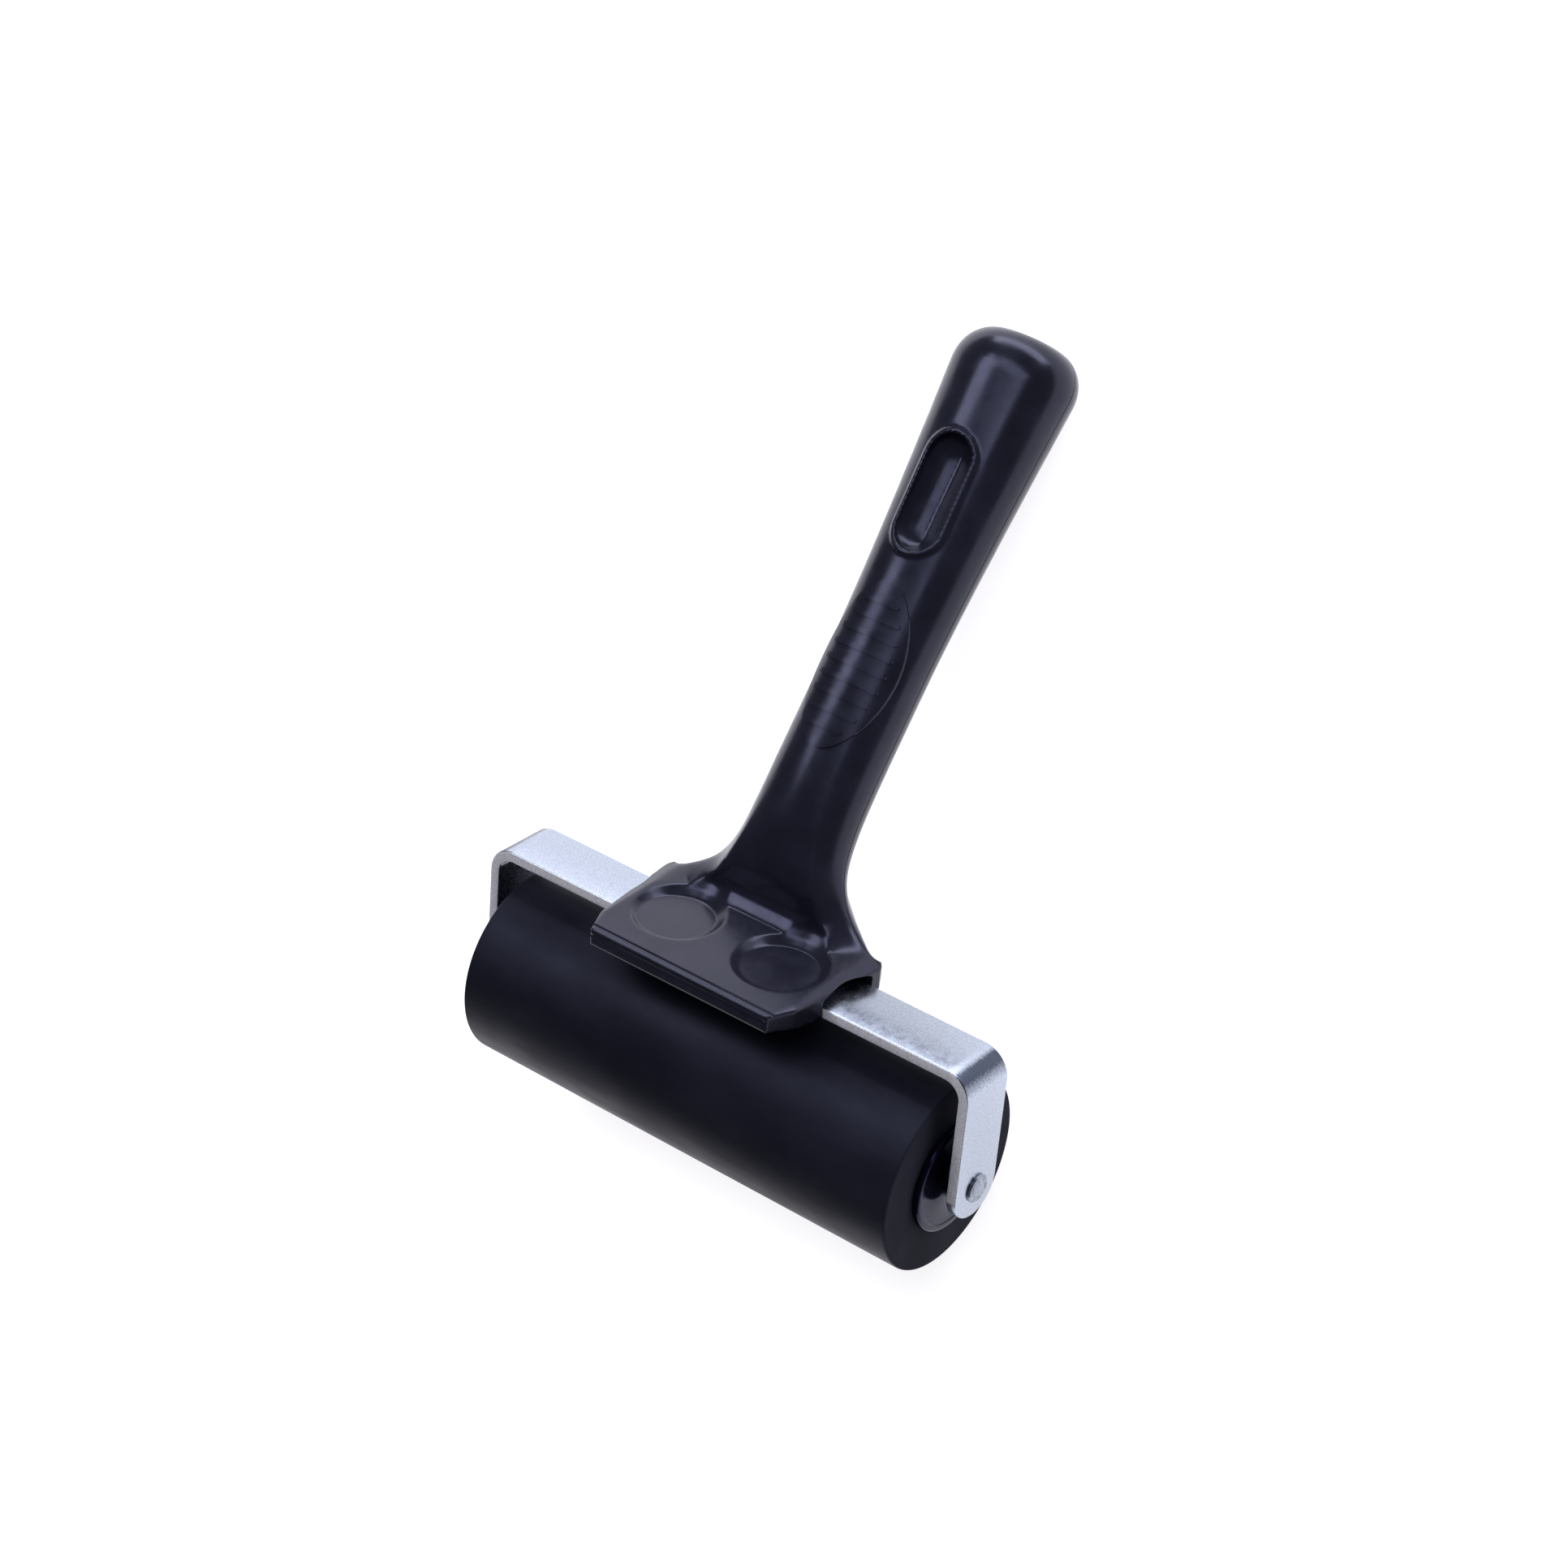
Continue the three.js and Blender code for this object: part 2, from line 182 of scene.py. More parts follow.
def turned(
    name: str, profile: Sequence[tuple[float, float]], sides: int, axis: Axis = Axis.X,
    at: Point = (0, 0, 0), closed: bool = True,
) -> bpy.types.Object:
    """A piece turned about an axis from half its section.

    Args:
        name: the new object's name.
        profile: (place on the axis, radius) points.
        sides: how many steps go round.
        axis: the axis that it turns about.
        at: a point on that axis.
        closed: False where the profile starts and ends on the axis.

    Returns:
        The new object.
    """
    if axis is Axis.X:
        points, spin_axis = [(x, r, 0.0) for x, r in profile], (1, 0, 0)
    else:
        points, spin_axis = [(r, 0.0, z) for z, r in profile], (0, 0, 1)
    obj = ring(name, [tuple(Vector(p) + Vector(at)) for p in points], filled=False)
    if not closed:
        last = len(points) - 1
        for edge in obj.data.edges:
            edge.select = set(edge.vertices) == {0, last}
        for vertex in obj.data.vertices:
            vertex.select = vertex.index in (0, last)
        pick(obj)
        bpy.ops.object.mode_set(mode="EDIT")
        bpy.ops.mesh.select_mode(type="EDGE")
        bpy.ops.mesh.delete(type="EDGE")
        bpy.ops.object.mode_set(mode="OBJECT")

    def sweep() -> None:
        """Spin the profile once round and close it."""
        bpy.ops.mesh.spin(steps=sides, angle=2 * math.pi, center=at, axis=spin_axis)
        bpy.ops.mesh.select_all(action="SELECT")
        bpy.ops.mesh.remove_doubles(threshold=1e-4)
        bpy.ops.mesh.normals_make_consistent(inside=False)

    edit(obj, sweep)
    return obj


def block(name: str, low: Point, high: Point, round_edges: float = 0.0) -> bpy.types.Object:
    """A block between two corners, its edges eased.

    Args:
        name: the new object's name.
        low: the lowest corner.
        high: the highest corner.
        round_edges: the radius of its edges.

    Returns:
        The new object.
    """
    size = [h - l for l, h in zip(low, high)]
    middle = [(h + l) / 2 for l, h in zip(low, high)]
    bpy.ops.mesh.primitive_cube_add(size=1, location=middle, scale=size)
    obj = bpy.context.object
    obj.name = obj.data.name = name
    pick(obj)
    bpy.ops.object.transform_apply(location=True, rotation=True, scale=True)
    if round_edges:
        edit(obj, lambda: bpy.ops.mesh.bevel(offset=round_edges, segments=3, affect="EDGES"))
    return obj


def choose(obj: bpy.types.Object, wanted: Callable[[bpy.types.MeshPolygon], bool]) -> None:
    """Leave an object in edit mode with only the wanted faces selected.

    Args:
        obj: the piece.
        wanted: tells whether a face is one of them.
    """
    edit(obj, lambda: bpy.ops.mesh.select_all(action="DESELECT"))
    for face in obj.data.polygons:
        face.select = wanted(face)
    bpy.ops.object.mode_set(mode="EDIT")
    bpy.ops.mesh.select_mode(type="FACE")


def shave(obj: bpy.types.Object, point: Point, outwards: Point) -> None:
    """Plane away all of a piece that lies beyond a plane, and close the cut.

    Args:
        obj: the piece.
        point: a point on the plane.
        outwards: the side that goes.
    """
    edit(
        obj,
        lambda: bpy.ops.mesh.bisect(
            plane_co=point, plane_no=outwards, use_fill=True, clear_outer=True, threshold=1e-4
        ),
    )


def copy_of(obj: bpy.types.Object, name: str) -> bpy.types.Object:
    """A copy with a mesh of its own.

    Args:
        obj: what to copy.
        name: the copy's name.

    Returns:
        The copy.
    """
    twin = obj.copy()
    twin.data = obj.data.copy()
    twin.name = twin.data.name = name
    bpy.context.scene.collection.objects.link(twin)
    return twin


# ---------------------------------------------------------------- where the brayer lies


@dataclass
class Pose:
    """How the upright brayer lies on the table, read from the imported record."""

    axle: Vector = field(init=False)
    tilt: float = field(init=False)

    def __post_init__(self) -> None:
        """Find the axle and the tilt of the arms from the joint and the arm's mount."""
        record = frame["record"]
        self.axle = Vector(record["behaviour"]["joints"][0]["pos_m"])
        mounts = {mount["name"]: Vector(mount["pos_m"]) for mount in record["mounts"]}
        arm = mounts["arm_face_right"] - self.axle
        self.tilt = math.atan2(arm.y, arm.z)

    @property
    def lay_down(self) -> Matrix:
        """The matrix from the upright frame in millimetres to the row frame in metres."""
        return Matrix.Translation(self.axle) @ Matrix.Rotation(-self.tilt, 4, "X") @ Matrix.Scale(0.001, 4)

    def settle(self, obj: bpy.types.Object, crease: float) -> None:
        """Lay a finished piece down in its place, with smooth shading up to a crease angle.

        Args:
            obj: the piece, in the upright frame.
            crease: the angle in degrees past which an edge stays sharp.
        """
        obj.data.transform(self.lay_down)
        pick(obj)
        bpy.ops.object.shade_smooth_by_angle(angle=math.radians(crease))


POSE = Pose()


# ---------------------------------------------------------------- finishes


def linear(code: str) -> tuple[float, float, float, float]:
    """Turn an sRGB hex code into a linear colour.

    Args:
        code: six hex digits.

    Returns:
        Red, green, blue and alpha.
    """
    parts = [int(code[i : i + 2], 16) / 255 for i in (0, 2, 4)]
    return (*(p / 12.92 if p <= 0.04045 else ((p + 0.055) / 1.055) ** 2.4 for p in parts), 1.0)


def add(
    tree: bpy.types.NodeTree, kind: str, settings: dict[str, object], sockets: dict[str | int, object]
) -> bpy.types.Node:
    """Add a node, with its settings, and with a value or a link for each of its sockets.

    Args:
        tree: the material's node tree.
        kind: the node's type name, without the word ShaderNode.
        settings: the node's own properties.
        sockets: for each input name or number, a value or the output that feeds it.

    Returns:
        The new node.
    """
    node = tree.nodes.new("ShaderNode" + kind)
    for key, value in settings.items():
        setattr(node, key, value)
    for key, value in sockets.items():
        if isinstance(value, bpy.types.NodeSocket):
            tree.links.new(value, node.inputs[key])
        else:
            node.inputs[key].default_value = value
    return node


@dataclass(frozen=True)
class Grain:
    """One scale of unevenness on a surface: its size in millimetres and how it stretches."""

    size: float
    detail: float = 3.0
    stretch: Point = (1.0, 1.0, 1.0)
    lean: float = 0.0

    def noise(self, tree: bpy.types.NodeTree, place: bpy.types.NodeSocket) -> bpy.types.NodeSocket:
        """Noise with one blotch about `size` across.

        Args:
            tree: the node tree.
            place: the point on the piece, in millimetres in the upright frame.

        Returns:
            The noise value, about 0.5 on average.
        """
        scale = [1 / (self.size * s) for s in self.stretch]
        turn = (math.radians(self.lean), 0, 0)
        squeeze = add(tree, "Mapping", {"vector_type": "POINT"}, {0: place, "Rotation": turn})
        spread = add(tree, "VectorMath", {"operation": "MULTIPLY"}, {0: squeeze.outputs[0], 1: scale})
        noise = add(
            tree, "TexNoise", {"noise_dimensions": "3D"},
            {"Vector": spread.outputs[0], "Scale": 1.0, "Detail": self.detail, "Roughness": 0.55},
        )
        return noise.outputs["Fac"]


@dataclass(frozen=True)
class Finish:
    """What every surface shares: two colours it drifts between, its gloss and its relief.

    Each `relief` is a grain and its height in millimetres.
    """

    name: str
    dark: str
    light: str
    drift: Grain
    gloss: tuple[float, float]
    wear: Grain
    relief: tuple[tuple[Grain, float], ...]
    metallic: float = 0.0
    ior: float = 1.5
    specular: float = 0.5
    tint: str = "ffffff"
    contrast: tuple[float, float] = (0.38, 0.64)

    def place(self, tree: bpy.types.NodeTree) -> bpy.types.NodeSocket:
        """The point on the piece in millimetres in the upright frame.

        Args:
            tree: the node tree.

        Returns:
            A vector socket.
        """
        coordinates = add(tree, "TexCoord", {}, {})
        mapping = add(
            tree, "Mapping", {"vector_type": "TEXTURE"},
            {
                0: coordinates.outputs["Object"], "Location": tuple(POSE.axle),
                "Rotation": (-POSE.tilt, 0, 0), "Scale": (0.001, 0.001, 0.001),
            },
        )
        return mapping.outputs[0]

    def between(
        self, tree: bpy.types.NodeTree, value: bpy.types.NodeSocket, low: float, high: float,
        start: float | None = None, end: float | None = None,
    ) -> bpy.types.NodeSocket:
        """Carry a noise value onto a range.

        Args:
            tree: the node tree.
            value: the noise.
            low: the result where the noise is lowest.
            high: the result where it is highest.
            start: the noise value that gives `low`.
            end: the noise value that gives `high`.

        Returns:
            The number in its new range.
        """
        a, b = (self.contrast[0] if start is None else start), (self.contrast[1] if end is None else end)
        node = add(tree, "MapRange", {"clamp": True}, {0: value, 1: a, 2: b, 3: low, 4: high})
        return node.outputs[0]

    def blend(
        self, tree: bpy.types.NodeTree, share: bpy.types.NodeSocket, first: object, second: object
    ) -> bpy.types.NodeSocket:
        """Mix two colours or colour sockets; the share is how much of the second shows."""
        return add(tree, "Mix", {"data_type": "RGBA"}, {0: share, 6: first, 7: second}).outputs[2]

    def colour(self, tree: bpy.types.NodeTree, place: bpy.types.NodeSocket) -> bpy.types.NodeSocket:
        """The drifting colour of the surface at a place."""
        share = self.between(tree, self.drift.noise(tree, place), 0.0, 1.0)
        return self.blend(tree, share, linear(self.dark), linear(self.light))

    def roughness(self, tree: bpy.types.NodeTree, place: bpy.types.NodeSocket) -> bpy.types.NodeSocket:
        """The uneven gloss of the surface at a place."""
        return self.between(tree, self.wear.noise(tree, place), *self.gloss)

    def normal(self, tree: bpy.types.NodeTree, place: bpy.types.NodeSocket) -> bpy.types.NodeSocket | None:
        """The relief of the surface, one bump for each grain.

        Args:
            tree: the node tree.
            place: the point on the piece.

        Returns:
            A normal socket, or None where the surface has no relief.
        """
        out = None
        for grain, height in self.relief:
            sockets = {"Strength": 1.0, "Distance": height / 1000, "Height": grain.noise(tree, place)}
            if out:
                sockets["Normal"] = out
            out = add(tree, "Bump", {}, sockets).outputs[0]
        return out

    def extra(self, tree: bpy.types.NodeTree, shader: bpy.types.Node, place: bpy.types.NodeSocket) -> None:
        """Anything more that one finish has; nothing here."""

    def make(self) -> bpy.types.Material:
        """Build the material.

        Returns:
            The new material.
        """
        material = bpy.data.materials.new(self.name)
        material.use_nodes = True
        tree = material.node_tree
        shader = tree.nodes["Principled BSDF"]
        place = self.place(tree)
        shader.inputs["Metallic"].default_value = self.metallic
        shader.inputs["IOR"].default_value = self.ior
        shader.inputs["Specular IOR Level"].default_value = self.specular
        shader.inputs["Specular Tint"].default_value = linear(self.tint)
        tree.links.new(self.colour(tree, place), shader.inputs["Base Color"])
        tree.links.new(self.roughness(tree, place), shader.inputs["Roughness"])
        normal = self.normal(tree, place)
        if normal:
            tree.links.new(normal, shader.inputs["Normal"])
        self.extra(tree, shader, place)
        return material


@dataclass(frozen=True)
class ShearedZinc(Finish):
    """Zinc-plated strip whose long edges are sheared, warmer and torn, with a painted highlight that makes
    them lighter; the outside of its two bends carries a painted dark reflection.
    """

    # Sheared edges: torn steel, painted lighter as a painted highlight.
    edge_dark: str = "e4e1de"
    edge_light: str = "fbfaf7"
    # Painted dark reflection, laid on the outside of the two bends.
    bend_reflection_dark: str = "2f3746"
    half_width: float = 6.15
    bend: tuple[float, float] = (26.4, 34.0)

    def edge(self, tree: bpy.types.NodeTree, place: bpy.types.NodeSocket) -> bpy.types.NodeSocket:
        """1 on the sheared edges and 0 on the rolled faces.

        Args:
            tree: the node tree.
            place: the point on the piece.

        Returns:
            A number socket.
        """
        parts = add(tree, "SeparateXYZ", {}, {0: place})
        away = add(tree, "Math", {"operation": "ABSOLUTE"}, {0: parts.outputs["Y"]})
        rim = self.half_width
        return self.between(tree, away.outputs[0], 0.0, 1.0, rim - 0.16, rim - 0.04)

    def colour(self, tree: bpy.types.NodeTree, place: bpy.types.NodeSocket) -> bpy.types.NodeSocket:
        """Mottled zinc on the faces, torn steel under it on the edges with a painted highlight, and a
        painted dark reflection on the outside of the bends.

        Args:
            tree: the node tree.
            place: the point on the piece.

        Returns:
            A colour socket.
        """
        face = super().colour(tree, place)
        tear = Grain(0.3, 2).noise(tree, place)
        # Edge colour: torn steel with a painted highlight.
        torn_and_lit_edge = self.blend(
            tree, self.between(tree, tear, 0.0, 1.0, 0.36, 0.6),
            linear(self.edge_dark), linear(self.edge_light),
        )
        # Lay the painted dark reflection over the outside of the bends.
        with_bend_reflection = self.blend(tree, self.bend_reflection_mask(tree, place), face, linear(self.bend_reflection_dark))
        return self.blend(tree, self.edge(tree, place), with_bend_reflection, torn_and_lit_edge)

    def bend_reflection_mask(self, tree: bpy.types.NodeTree, place: bpy.types.NodeSocket) -> bpy.types.NodeSocket:
        """How much painted dark reflection lies on the strip: a ragged band on the outside of the two bends.

        Args:
            tree: the node tree.
            place: the point on the piece.

        Returns:
            A number socket.
        """
        parts = add(tree, "SeparateXYZ", {}, {0: place})
        out = add(tree, "Math", {"operation": "ABSOLUTE"}, {0: parts.outputs["X"]})
        along = add(tree, "Math", {"operation": "SUBTRACT"}, {0: out.outputs[0], 1: parts.outputs["Z"]})
        ragged = self.between(tree, Grain(0.35, 4).noise(tree, place), -0.5, 0.5)
        moved = add(tree, "Math", {"operation": "ADD"}, {0: along.outputs[0], 1: ragged})
        start, end = self.bend
        rise = self.between(tree, moved.outputs[0], 0.0, 0.9, start, start + 1.2)
        fall = self.between(tree, moved.outputs[0], 1.0, 0.0, end - 3.6, end)
        band = add(tree, "Math", {"operation": "MULTIPLY"}, {0: rise, 1: fall})
        high = self.between(tree, parts.outputs["Z"], 0.0, 1.0, 19.0, 21.5)
        outside = add(tree, "Math", {"operation": "ADD"}, {0: out.outputs[0], 1: parts.outputs["Z"]})
        face = self.between(tree, outside.outputs[0], 0.0, 1.0, 76.6, 77.2)
        share = add(tree, "Math", {"operation": "MULTIPLY"}, {0: band.outputs[0], 1: high})
        return add(tree, "Math", {"operation": "MULTIPLY"}, {0: share.outputs[0], 1: face}).outputs[0]

    def extra(self, tree: bpy.types.NodeTree, shader: bpy.types.Node, place: bpy.types.NodeSocket) -> None:
        """Make the torn edges scatter light, where the faces mirror it.

        Args:
            tree: the node tree.
            shader: the material's shader.
            place: the point on the piece.
        """
        share = add(tree, "MapRange", {}, {0: self.edge(tree, place), 3: 1.0, 4: 0.15})
        tree.links.new(share.outputs[0], shader.inputs["Metallic"])


@dataclass(frozen=True)
class CutRubber(Finish):
    """Rubber that is ground on the cylinder and cut, so much duller, on the two ends."""

    end: float = 49.95
    end_gloss: float = 0.85

    def roughness(self, tree: bpy.types.NodeTree, place: bpy.types.NodeSocket) -> bpy.types.NodeSocket:
        """The gloss of the ground cylinder, and none on the cut ends.

        Args:
            tree: the node tree.
            place: the point on the piece.

        Returns:
            A number socket.
        """
        ground = super().roughness(tree, place)
        parts = add(tree, "SeparateXYZ", {}, {0: place})
        out = add(tree, "Math", {"operation": "ABSOLUTE"}, {0: parts.outputs["X"]})
        share = self.between(tree, out.outputs[0], 0.0, 1.0, self.end - 0.1, self.end)
        sockets = {0: share, 2: ground, 3: self.end_gloss}
        return add(tree, "Mix", {"data_type": "FLOAT"}, sockets).outputs[0]


# Injection-moulded ABS from a polished tool: a blue-black body, glossy, with the slow waviness of
# a thick moulding and a faint bloom from handling.
HANDLE_ABS = Finish(
    "moulded_black_abs", "1a1a23", "21212c", Grain(9, 3), (0.2, 0.28), Grain(5, 4, (1, 1, 3), -36.4),
    ((Grain(11, 1), 0.05), (Grain(0.5, 2), 0.0012)), ior=1.52, specular=0.36, tint="dee0ff",
)
# Barrel-plated zinc on cold-rolled strip: satin, blue-white, with a fine crystalline mottle that
# is drawn a little coarser than the real one so that it shows.
# Its sheared edges carry a painted highlight, and the outside of its bends a painted dark reflection.
ZINC = ShearedZinc(
    "barrel_plated_zinc", "a0a8b4", "bec6d2", Grain(0.35, 4), (0.22, 0.32), Grain(1.2, 4),
    ((Grain(0.3, 2), 0.0009), (Grain(4, 2), 0.004)), metallic=1.0, contrast=(0.3, 0.7),
)
# The cold-headed ends of the axle: the same plating, crushed darker and duller.
AXLE_STEEL = Finish(
    "peened_axle_steel", "7b818d", "a0a7b2", Grain(1.2, 3), (0.22, 0.3), Grain(0.8, 3),
    ((Grain(1.5, 2), 0.004),), metallic=1.0,
)
# Nitrile rubber: the cylinder ground satin black and clouded, the ends cut and dull, with a fine
# sandpaper grain all over.
RUBBER = CutRubber(
    "ground_black_rubber", "1a1b23", "25262f", Grain(14, 4, (2, 1, 1)), (0.4, 0.5), Grain(6, 4, (3, 1, 1)),
    ((Grain(0.4, 3), 0.005),), ior=1.52, specular=0.12, tint="dee0ff",
)
# Moulded polypropylene end plugs: the glossiest black on the tool.
PLUG_PP = Finish(
    "moulded_black_polypropylene", "07070f", "0d0d1a", Grain(5, 3), (0.07, 0.12), Grain(3, 3),
    ((Grain(4, 1), 0.01),), specular=0.26, tint="9ba0ff",
)
# Extruded core tube: a plain dark grey plastic, hidden by the rubber and the plugs.
CORE_PVC = Finish(
    "extruded_grey_pvc", "2c2d31", "3a3b40", Grain(3, 3, (4, 1, 1)), (0.4, 0.55), Grain(2, 3, (4, 1, 1)),
    ((Grain(0.6, 3, (8, 1, 1)), 0.01),),
)


def dress(obj: bpy.types.Object, material: bpy.types.Material) -> None:
    """Give a piece its finish."""
    obj.data.materials.clear()
    obj.data.materials.append(material)


def hand_over(
    obj: bpy.types.Object, crease: float, material: bpy.types.Material, body: str, node: str
) -> None:
    """Lay a shaped piece in its place, dress it, and tie it to its body and plain solid.

    Args:
        obj: the piece, in the upright frame.
        crease: the angle in degrees past which an edge stays sharp.
        material: its finish.
        body: the body that it moves with.
        node: the plain solid that it stands for.
    """
    POSE.settle(obj, crease)
    dress(obj, material)
    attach(obj, body)
    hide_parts(node)
    LOG.info("%s: %d faces, rides on %s", obj.name, len(obj.data.polygons), body)


# ---------------------------------------------------------------- the handle


def flare(s: float, reach: float, power: float) -> float:
    """How much of the foot's widening is left at a distance along the handle."""
    return math.exp(-((max(s, 0.0) / reach) ** power))


@dataclass
class Handle:
    """The hollow handle: a neck that grows out of a base plate, moulded in two welded halves."""

    lean: float = 36.4
    root: tuple[float, float] = (3.8, 28.5)
    length: float = 118.12
    ratio: float = 0.82
    corner: float = 8.5
    tip: Point = (25.3, 8.5, 28.4)
    front: float = -18.8
    deck: float = 28.5
    slope: float = 3.0
    neck_dip: Point = (1.4, 4.5, 2.8)
    lip: float = 24.98
    seam: float = 8.8
    seam_gap: float = 0.1
    dimple: Point = (12.0, -4.4, 28.15)
    base_fall: float = 22.0
    base_rise: float = 6.2
    heel_fall: float = 42.0
    recess: tuple[float, float, float] = (73.0, 95.9, 4.6)
    recess_slopes: tuple[Point, ...] = (
        (1.25, 0.7, 0.93), (0.9, 0.6, 0.92), (0.62, 0.4, 0.92), (0.22, 0.2, 0.94)
    )
    bead: tuple[float, float] = (1.0, 0.4)
    pad: tuple[float, float, float] = (50.2, 33.0, 16.5)
    pad_height: float = 0.4
    rib_height: float = 0.7
    rib_pitch: float = 3.1
    bar: tuple[float, float] = (6.45, 26.15)
    voxel: float = 0.32
    rounds: tuple[tuple[str, int], ...] = (("tight_edges", 5), ("wide_blends", 10), ("wing_fillets", 110))
    crease: float = 62.0

    def half_width(self, s: float) -> float:
        """Half the width of the handle at s along it."""
        return 10.2 + 14.3 * flare(s, 6.9, 1.15) + self.swell(s)

    def swell(self, s: float) -> float:
        """How much thicker the grip grows towards its butt."""
        return 0.0087 * max(s - 55, 0) ** 1.41

    def depth(self, s: float, towards_front: bool) -> float:
        """Half the thickness of the handle at s, to its front or its rear.

        Args:
            s: distance along the handle.
            towards_front: which side of the middle line.

        Returns:
            The thickness in millimetres.
        """
        grip = self.ratio * (10.4 + self.swell(s))
        if towards_front:
            sunk, at, spread = self.neck_dip
            hollow = sunk * math.exp(-(((s - at) / spread) ** 2))
            return grip - 4.6 * flare(s, 9, 1.3) + 3.9 * flare(s + 1.5, 3.1, 1.3) - hollow
        return grip - 3.5 * flare(s, 9, 1.3)

    def middle(self, s: float) -> tuple[float, float]:
        """The middle line: over the shoulder tips at the deck, on the leaning axis higher up."""
        lean = math.radians(self.lean)
        shift = (self.tip[1] - self.root[0]) * flare(s, 14, 1.6)
        return self.root[0] + s * math.sin(lean) + shift, self.root[1] + s * math.cos(lean)

    def skin(self, s: float, across: float, deep: float) -> Point:
        """A point on the handle's skin.

        Args:
            s: distance along the handle.
            across: how far out along X, as a fraction of the half width.
            deep: how far to the front (-) or the rear (+), as a fraction.

        Returns:
            The point in the upright frame.
        """
        k = min(max((s + 1) / 18, 0), 1)
        lean = math.radians(self.lean) * k * k * (3 - 2 * k)
        y, z = self.middle(s)
        blade = flare(s, 12.5, 2.0)
        flat = math.copysign(min(1, (1 - abs(across)) / 0.3, 4 * abs(deep)), deep)
        d = self.depth(s, deep < 0) * (deep + blade * (flat - deep))
        return self.half_width(s) * across, y + d * math.cos(lean), z - d * math.sin(lean)

    def loft(self, start: float, end: float, sides: int = 96) -> bpy.types.Object:
        """The handle's body: a straight unit tube drawn out ring by ring, then carried to its skin.

        Args:
            start: where it begins along the handle.
            end: where its butt ends.
            sides: how many points go round.

        Returns:
            The new object.
        """
        steps = 60
        stations = [
            (start + (end - self.corner - start) * (i / steps) ** 1.15, 1.0) for i in range(1, steps + 1)
        ]
        for i in range(1, 13):
            a = i / 12 * math.pi / 2
            stations.append((end - self.corner * (1 - math.sin(a)), 1 - 0.6 * (1 - math.cos(a))))
        stations += [(end + 0.1, 0.25), (end + 0.18, 0.06)]
        bpy.ops.mesh.primitive_circle_add(vertices=sides, fill_type="NGON", location=(0, 0, start))
        obj = pick(bpy.context.object)
        obj.name = obj.data.name = "handle_body"
        bpy.ops.object.transform_apply(location=True, rotation=True, scale=True)

        def draw_out() -> None:
            """Extrude one ring for each station, and draw it in where the butt rounds over."""
            at, size = start, 1.0
            for s, scale in stations:
                bpy.ops.mesh.extrude_region_move(TRANSFORM_OT_translate={"value": (0, 0, s - at)})
                k = scale / size
                if abs(k - 1) > 1e-9:
                    bpy.ops.transform.resize(value=(k, k, 1), center_override=(0, 0, s))
                at, size = s, scale

        edit(obj, draw_out)
        for vertex in obj.data.vertices:
            vertex.co = self.skin(vertex.co.z, vertex.co.x, vertex.co.y)
        edit(obj, lambda: bpy.ops.mesh.normals_make_consistent(inside=False))
        return obj

    def base(self) -> bpy.types.Object:
        """The base plate: a block planed to its outline, its sloping deck and its rolled-off sides.

        Returns:
            The new object.
        """
        x, y, z = self.tip
        obj = block("handle_base", (-30, self.front, self.lip - 1.4), (30, 17.5, 34))
        slope = math.radians(self.slope)
        shave(obj, (0, self.front, self.deck), (0, -math.sin(slope), math.cos(slope)))
        outline = [
            (20.4, self.front), (23.0, -13.0), (x, y), (23.4, 11.6), (19.0, 13.6), (10.0, 15.9), (0.0, 16.5),
        ]
        fall, rise, heel = (math.radians(a) for a in (self.base_fall, self.base_rise, self.heel_fall))
        for side in (1, -1):
            for i, ((ax, ay), (bx, by)) in enumerate(zip(outline, outline[1:])):
                out = Vector((by - ay, ax - bx, 0)).normalized()
                shave(obj, (side * ax, ay, 0), (side * out.x, out.y, 0))
                if i < 2:
                    lift = out * math.sin(fall) + Vector((0, 0, math.cos(fall)))
                    shave(obj, (side * ax, ay, z), (side * lift.x, lift.y, lift.z))
        shave(obj, (0, self.front, self.lip), (0, -math.sin(rise), -math.cos(rise)))
        shave(obj, (0, y + 1.2, z + 0.35), (0, math.sin(heel), math.cos(heel)))
        return obj

    def dimples(self) -> bpy.types.Object:
        """The tool that sinks the two flat-bottomed dimples into the deck and the neck's foot.

        Returns:
            The new object.
        """
        x, y, z = self.dimple
        profile = [(z, 0.0), (z, 7.5), (z + 1.25, 9.1), (z + 3.0, 10.6), (z + 9, 11.1), (z + 9, 0.0)]
        right = turned("dimple_tool", profile, 96, Axis.Z, (x, y, 0), closed=False)
        left = turned("dimple_tool_left", profile, 96, Axis.Z, (-x, y, 0), closed=False)
        pick(right)
        left.select_set(True)
        bpy.ops.object.join()
        return right

    def on_front(self, obj: bpy.types.Object, s: float) -> bpy.types.Object:
        """Carry a tool drawn in (X, along, raised) onto the front of the handle at s.

        Args:
            obj: the tool.
            s: distance along the handle.

        Returns:
            The same tool.
        """
        lean = math.radians(self.lean)
        basis = Matrix(
            ((1, 0, 0, 0), (0, math.sin(lean), -math.cos(lean), 0), (0, math.cos(lean), math.sin(lean), 0),
             (0, 0, 0, 1))
        )
        place = (0, self.root[0] + s * math.sin(lean), self.root[1] + s * math.cos(lean))
        obj.data.transform(Matrix.Translation(place) @ basis)
        edit(obj, lambda: bpy.ops.mesh.normals_make_consistent(inside=False))
        return obj

    def stadium(self, grow: float, steps: int = 20) -> list[tuple[float, float]]:
        """The outline of the hanging recess, two half rounds joined by straight sides.

        Args:
            grow: how far outside the recess's own edge.
            steps: how many points go round each end.

        Returns:
            (X, along) points about the recess's middle.
        """
        start, end, r = self.recess
        half = (end - start) / 2 - r
        points = []
        for centre, first in ((half, 0.0), (-half, math.pi)):
            for i in range(steps + 1):
                a = first + math.pi * i / steps
                points.append(((r + grow) * math.cos(a), centre + (r + grow) * math.sin(a)))
        return points

